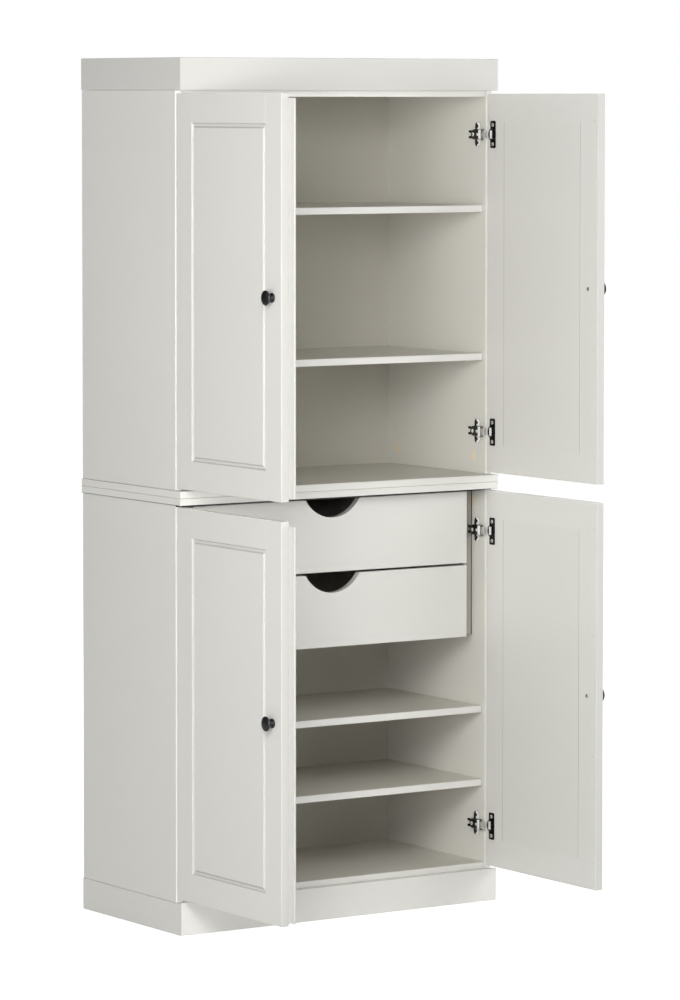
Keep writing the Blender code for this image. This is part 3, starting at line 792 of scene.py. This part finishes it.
for level in BASE:
    for side in SIDES:
        for place_word, h in (("bottom", HINGE_INSET), ("top", DOOR_H - HINGE_INSET)):
            tag = f"{level}_{side}_{place_word}"
            # on the carcass
            matrix = side_matrix(side, BASE[level] + h)
            node = (f"hinge_arm_{tag}",)
            for word, way in (("high", 1), ("low", -1)):
                bm = bmesh.new()
                wing(bm, way)
                lit_side(keep(f"plate_wing_{word}_{tag}", bm, matrix, NICKEL, "cabinet", 25, node), YF + 0.0285)
                screw(
                    f"plate_screw_{word}_{tag}", (0.0176, 0.0280, way * 0.0178), 0.0040, 0.0013, "u", 1, matrix,
                    (NICKEL_ARM, RECESS_SHADE), "cabinet",
                )
            bm = bmesh.new()
            soft_prism(bm, round_outline(0.0330, 0.0160, 0.0030, 0.0285, 0.0), 0.0154, 0.0216, (1, 2), 0, 0.0008, 1)
            keep(f"plate_boss_{tag}", bm, matrix, NICKEL, "cabinet", 40, node)
            bm = bmesh.new()
            channel(bm)
            lit_side(keep(f"arm_channel_{tag}", bm, matrix, NICKEL_ARM, "cabinet", 35, node), YF + 0.0092)
            for word, way in (("high", 1), ("low", -1)):
                bm = bmesh.new()
                rounded(bm, (0.0217, 0.0372, min(way * 0.0036, way * 0.0088)), (0.0262, 0.0484, max(way * 0.0036, way * 0.0088)), 0.0009, 3)
                keep(f"arm_prong_{word}_{tag}", bm, matrix, NICKEL, "cabinet", 40, node)
                bm = bmesh.new()
                outline = [(0.0270, 0.0018), (0.0206, 0.0018), (0.0190, -0.0010)]
                outline += [
                    (0.0228 + 0.0042 * math.cos(math.radians(a)), -0.0073 + 0.0042 * math.sin(math.radians(a)))
                    for a in range(180, 361, 20)
                ]
                soft_prism(
                    bm, outline, min(way * 0.0050, way * 0.0070), max(way * 0.0050, way * 0.0070), (0, 1), 2, 0.0003, 0,
                )
                keep(f"nose_cheek_{word}_{tag}", bm, matrix, NICKEL_PALE_REFLECTION, "cabinet", 40, node)
            bm = bmesh.new()
            lathe(bm, ((-0.0078, 0.0), (-0.0078, 0.0010), (-0.0074, 0.0017), (0.0074, 0.0017), (0.0078, 0.0010), (0.0078, 0.0)), (0.0228, -0.0073, 0), "h", 20)
            keep(f"nose_pin_{tag}", bm, matrix, NICKEL_PALE_REFLECTION, "cabinet", 40, node)
            bm = bmesh.new()
            rounded(bm, (0.0243, -0.0098, -0.0046), (0.0259, 0.0060, 0.0046), 0.0006, 3)
            keep(f"nose_link_{tag}", bm, matrix, NICKEL_PALE_REFLECTION, "cabinet", 40, node)
            # Painted highlight on the arm's screw heads.
            for word, y, r in (("depth", 0.0125, 0.0031), ("clamp", 0.0285, 0.0039)):
                q = 0.0290 - 0.0013 * ((y - 0.0170) / 0.0200) ** 2 - 0.0001
                screw(f"arm_screw_{word}_{tag}", (q, y, 0), r, 0.0009, "u", 1, matrix, (NICKEL_HIGHLIGHT, RECESS_SHADE), "cabinet")
            screw(f"boss_screw_{tag}", (0.0216, 0.0420, 0), 0.0030, 0.0014, "u", 1, matrix, (NICKEL, RECESS_SHADE), "cabinet")

            # on the door
            matrix = door_matrix(level, side)
            body = f"door_{level}_{side}"
            node = (f"hinge_cup_{tag}",)
            bm = bmesh.new()
            soft_prism(bm, flange_outline(h), DOOR_T + 0.0003, DOOR_T + 0.0015, (0, 2), 1, 0.0003, 1)
            keep(f"cup_flange_{tag}", bm, matrix, NICKEL, body, 40, node)
            bm = bmesh.new()
            face = DOOR_T
            lathe(
                bm,
                (
                    (-0.0117, 0.0), (-0.0117, 0.0129), (0.0003, 0.0129), (0.0003, 0.0138), (0.0007, 0.0138), (0.0010, 0.0135),
                    (0.0011, 0.0129), (0.0010, 0.0122), (0.0007, 0.0119), (-0.0095, 0.0116), (-0.0104, 0.0110), (-0.0107, 0.0098), (-0.0107, 0.0),
                ),
                (CUP_U, face, h), "w", 48,
            )
            keep(f"cup_bowl_{tag}", bm, matrix, CUP_SHADE, body, 35, node)
            # Painted highlight: a pale bar in each cup stands in for the light seen in the bowl; it is no real part.
            bm = bmesh.new()
            rounded(bm, (0.0088, 0.0150, h - 0.0088), (0.0136, 0.0187, h + 0.0088), 0.0008, 2)
            keep(f"cup_highlight_bar_{tag}", bm, matrix, NICKEL_HIGHLIGHT, body, 40, node)
            for word, way in (("high", 1), ("low", -1)):
                screw(
                    f"cup_screw_{word}_{tag}", (FLANGE_U, face + 0.0015, h + way * 0.0206), 0.0041, 0.0014, "w", 1, matrix,
                    (NICKEL_PALE_REFLECTION, RECESS_SHADE), body,
                )
                bm = bmesh.new()
                outline = [(0.0100, 0.0085), (0.0145, 0.0085), (0.0118, 0.0150), (0.0094, 0.0184), (0.0074, 0.0186), (0.0080, 0.0140)]
                soft_prism(
                    bm, outline, h + min(way * 0.0032, way * 0.0047), h + max(way * 0.0032, way * 0.0047), (0, 1), 2, 0.0003, 0,
                )
                keep(f"cup_link_{word}_{tag}", bm, matrix, NICKEL, body, 40, node)

# ------------------------------------------------- holes, pins and plugs inside
PIN = coated("finish_pin", tint(WHITE, (0.96, 0.94, 0.88)), 0.35, "z", 0.05)
RAW = raw_board("finish_raw")
ROWS = (0.0630, 0.2890)
HOLES = (0.3250, 0.4850, 1.2425, 1.3225, 1.4025, 1.5625)
PINS = (0.2415, 0.4005, 1.1603, 1.4778)
for side in SIDES:
    matrix = side_matrix(side)
    for k, z in enumerate(HOLES):
        for m, y in enumerate(ROWS):
            bm = bmesh.new()
            lathe(bm, ((-0.0001, 0.0), (-0.0001, 0.0026), (0.00012, 0.0024), (0.00012, 0.0)), (BOARD, y, z), "u", 18)
            keep(f"shelf_hole_{side}_{k}_{m}", bm, matrix, PIN_HOLE, "cabinet")
    for k, z in enumerate(PINS):
        for m, y in enumerate(ROWS):
            bm = bmesh.new()
            lathe(
                bm, ((-0.0002, 0.0), (-0.0002, 0.0033), (0.0006, 0.0033), (0.0009, 0.0026), (0.0062, 0.0024), (0.0066, 0.0020), (0.0066, 0.0)),
                (BOARD, y, z - 0.0002), "u", 18,
            )
            keep(f"shelf_pin_{side}_{k}_{m}", bm, matrix, PIN, "cabinet", 40)
    for k, (y, z) in enumerate(((0.0420, 0.9530), (0.3330, 0.9490), (0.0430, 0.8560))):
        bm = bmesh.new()
        outline = []
        for n in range(28):
            a = 2 * math.pi * n / 28
            r = 0.0060 * (1 - 0.30 * math.sin(a)) if math.sin(a) > 0 else 0.0060
            outline.append((y + r * math.cos(a), z + (0.0190 if math.sin(a) > 0 else 0.0080) * math.sin(a)))
        soft_prism(bm, outline, BOARD - 0.0001, BOARD + 0.00025, (1, 2), 0, 0.0001, 1)
        keep(f"joint_spot_{side}_{k}", bm, matrix, RAW, "cabinet")

# Near-black strips painted in as shade: in the dark gap between the waist's lower board and what stands below it, and
# beside the drawer guides.
GAP_SHADE = black_metal("painted_shade_gap", 0.8)
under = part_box("lower_top_board")[0].z
drawer_lo, drawer_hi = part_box("drawer_front_top")
bm = bmesh.new()
add_box(bm, (-HALF_W + BOARD, drawer_lo.y + 0.0008, drawer_hi.z + 0.0003), (HALF_W - BOARD, drawer_lo.y + 0.0060, under + 0.0001))
keep("gap_drawer", bm, Matrix.Identity(4), GAP_SHADE, "cabinet")
bm = bmesh.new()
add_box(bm, (-HALF_W, YF - 0.0004, BASE["lower"] + DOOR_H + 0.0004), (HALF_W, YF + 0.0001, under + 0.0001))
keep("gap_door", bm, Matrix.Identity(4), GAP_SHADE, "cabinet")
guide_lo, guide_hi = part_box("drawer_guide_right")
for side in SIDES:
    bm = bmesh.new()
    inner = HALF_W - BOARD
    x0, x1 = sorted((SIDES[side] * (inner - 0.0017), SIDES[side] * (inner + 0.0001)))
    add_box(bm, (x0, guide_lo.y - 0.0006, guide_lo.z), (x1, guide_lo.y + 0.0002, guide_hi.z))
    keep(f"gap_guide_{side}", bm, Matrix.Identity(4), GAP_SHADE, "cabinet")

# ---------------------------------------------------------------------- stage
FLOOR_LIGHT, FLOOR_SEEN = 0.05, 0.80
bm = bmesh.new()
bmesh.ops.create_grid(bm, x_segments=8, y_segments=8, size=30.0)
mesh = bpy.data.meshes.new("floor")
bm.to_mesh(mesh)
bm.free()
floor = bpy.data.objects.new("floor", mesh)
floor.location.z = -0.0004
bpy.context.scene.collection.objects.link(floor)
g = Graph("floor_pale")
cloud = g.noise(g.mapped((0.4, 0.4, 0.4)), 1.0, 2.0)
g.link(g.mix(g.ramp(cloud, 0.3, 0.7), (0.60, 0.60, 0.60), (0.62, 0.62, 0.618)), g.shader.inputs["Base Color"])
g.shader.inputs["Roughness"].default_value = 0.9
g.shader.inputs["Specular IOR Level"].default_value = 0.1
# A pale floor lit from below, as on a light table: weaker for what it lights than for what is seen.
g.shader.inputs["Emission Color"].default_value = (1.0, 1.0, 1.0, 1.0)
path = g.add("ShaderNodeLightPath")
reach = g.add("ShaderNodeVectorMath", operation="LENGTH")
g.link(g.coord.outputs["Object"], reach.inputs[0])
seen_level = g.add("ShaderNodeMapRange")
g.link(path.outputs["Is Camera Ray"], seen_level.inputs["Value"])
seen_level.inputs["To Min"].default_value = FLOOR_LIGHT
g.link(g.ramp(reach.outputs["Value"], 0.9, 2.4, FLOOR_SEEN, 1.05), seen_level.inputs["To Max"])
g.link(seen_level.outputs["Result"], g.shader.inputs["Emission Strength"])
mesh.materials.append(g.mat)

# --------------------------------------------------------------------- camera
CAM_AT = (-5.416, -8.533, 1.726)
CAM_YAW, CAM_PITCH, CAM_ROLL = -33.60, -3.09, 0.023
CAM_F = 4677.1
CAM_SHIFT = -0.15         # keeps the uprights nearly parallel, as in a view camera
cam_data = bpy.data.cameras.new("camera")
cam = bpy.data.objects.new("camera", cam_data)
bpy.context.scene.collection.objects.link(cam)
yaw, pitch, roll = (math.radians(v) for v in (CAM_YAW, CAM_PITCH, CAM_ROLL))
ahead = Vector((-math.sin(yaw) * math.cos(pitch), math.cos(yaw) * math.cos(pitch), math.sin(pitch)))
right = Vector((math.cos(yaw), math.sin(yaw), 0))
up = right.cross(ahead)
right, up = math.cos(roll) * right + math.sin(roll) * up, -math.sin(roll) * right + math.cos(roll) * up
cam.matrix_world = Matrix(
    (
        (right.x, up.x, -ahead.x, CAM_AT[0]),
        (right.y, up.y, -ahead.y, CAM_AT[1]),
        (right.z, up.z, -ahead.z, CAM_AT[2]),
        (0, 0, 0, 1),
    )
)
cam_data.sensor_width = 36.0
cam_data.sensor_fit = "AUTO"
cam_data.lens = CAM_F * 36.0 / 1000
cam_data.shift_y = CAM_SHIFT
cam_data.clip_start, cam_data.clip_end = 0.1, 100
bpy.context.scene.camera = cam

# --------------------------------------------------------------------- lights
bpy.context.scene.view_settings.view_transform = "Standard"
bpy.context.scene.view_settings.look = "None"
AMBIENT = 0.02
world = bpy.data.worlds.new("studio")
bpy.context.scene.world = world
world.use_nodes = True
nt = world.node_tree
nt.nodes.clear()
out = nt.nodes.new("ShaderNodeOutputWorld")
seen, lit, pick, path = (
    nt.nodes.new(k) for k in ("ShaderNodeBackground", "ShaderNodeBackground", "ShaderNodeMixShader", "ShaderNodeLightPath")
)
seen.inputs["Color"].default_value = (1, 1, 1, 1)
seen.inputs["Strength"].default_value = 1.0
lit.inputs["Color"].default_value = (1.0, 0.995, 0.985, 1)
lit.inputs["Strength"].default_value = AMBIENT
nt.links.new(path.outputs["Is Camera Ray"], pick.inputs["Fac"])
nt.links.new(lit.outputs[0], pick.inputs[1])
nt.links.new(seen.outputs[0], pick.inputs[2])
nt.links.new(pick.outputs[0], out.inputs["Surface"])


def softbox(name, azimuth, elevation, distance, size, radiance, colour=(1, 1, 1)):
    """A square light aimed at the cabinet's middle. Azimuth 0 is its front and grows towards its left;
    the power is set so that the light's face has the stated radiance."""
    data = bpy.data.lights.new(name, "AREA")
    data.shape = "SQUARE"
    data.size = size
    data.energy = radiance * math.pi * size * size
    data.color = colour
    obj = bpy.data.objects.new(name, data)
    bpy.context.scene.collection.objects.link(obj)
    a, e = math.radians(azimuth), math.radians(elevation)
    aim = Vector((0, -0.2, 1.0))
    obj.location = aim + distance * Vector((-math.sin(a) * math.cos(e), -math.cos(a) * math.cos(e), math.sin(e)))
    obj.rotation_euler = (aim - obj.location).to_track_quat("-Z", "Y").to_euler()
    obj.visible_camera = False


for lamp in (
    ("key_left", 40, 14, 3.6, 1.2, 12.0),
    ("low_left", 50, -6, 6.5, 2.6, 8.6),
    ("high_front", 34, 26, 5.4, 2.4, 2.6),
    ("front_right", -32, 12, 4.4, 1.9, 3.4),
    ("front_right_low", -32, -4, 5.0, 3.2, 2.0),
    ("side_left", 100, 20, 4.2, 1.8, 0.8),
    ("edge_left", 75, 0, 5.0, 2.0, 1.2),
    ("rear_right", -150, 30, 6.0, 3.0, 2.6),
    ("side_right", -102, 14, 4.6, 2.2, 1.8),
    ("top_rear", -140, 66, 5.0, 2.4, 2.8),
    ("rear", -165, 8, 5.0, 2.2, 1.8),
):
    softbox(*lamp)
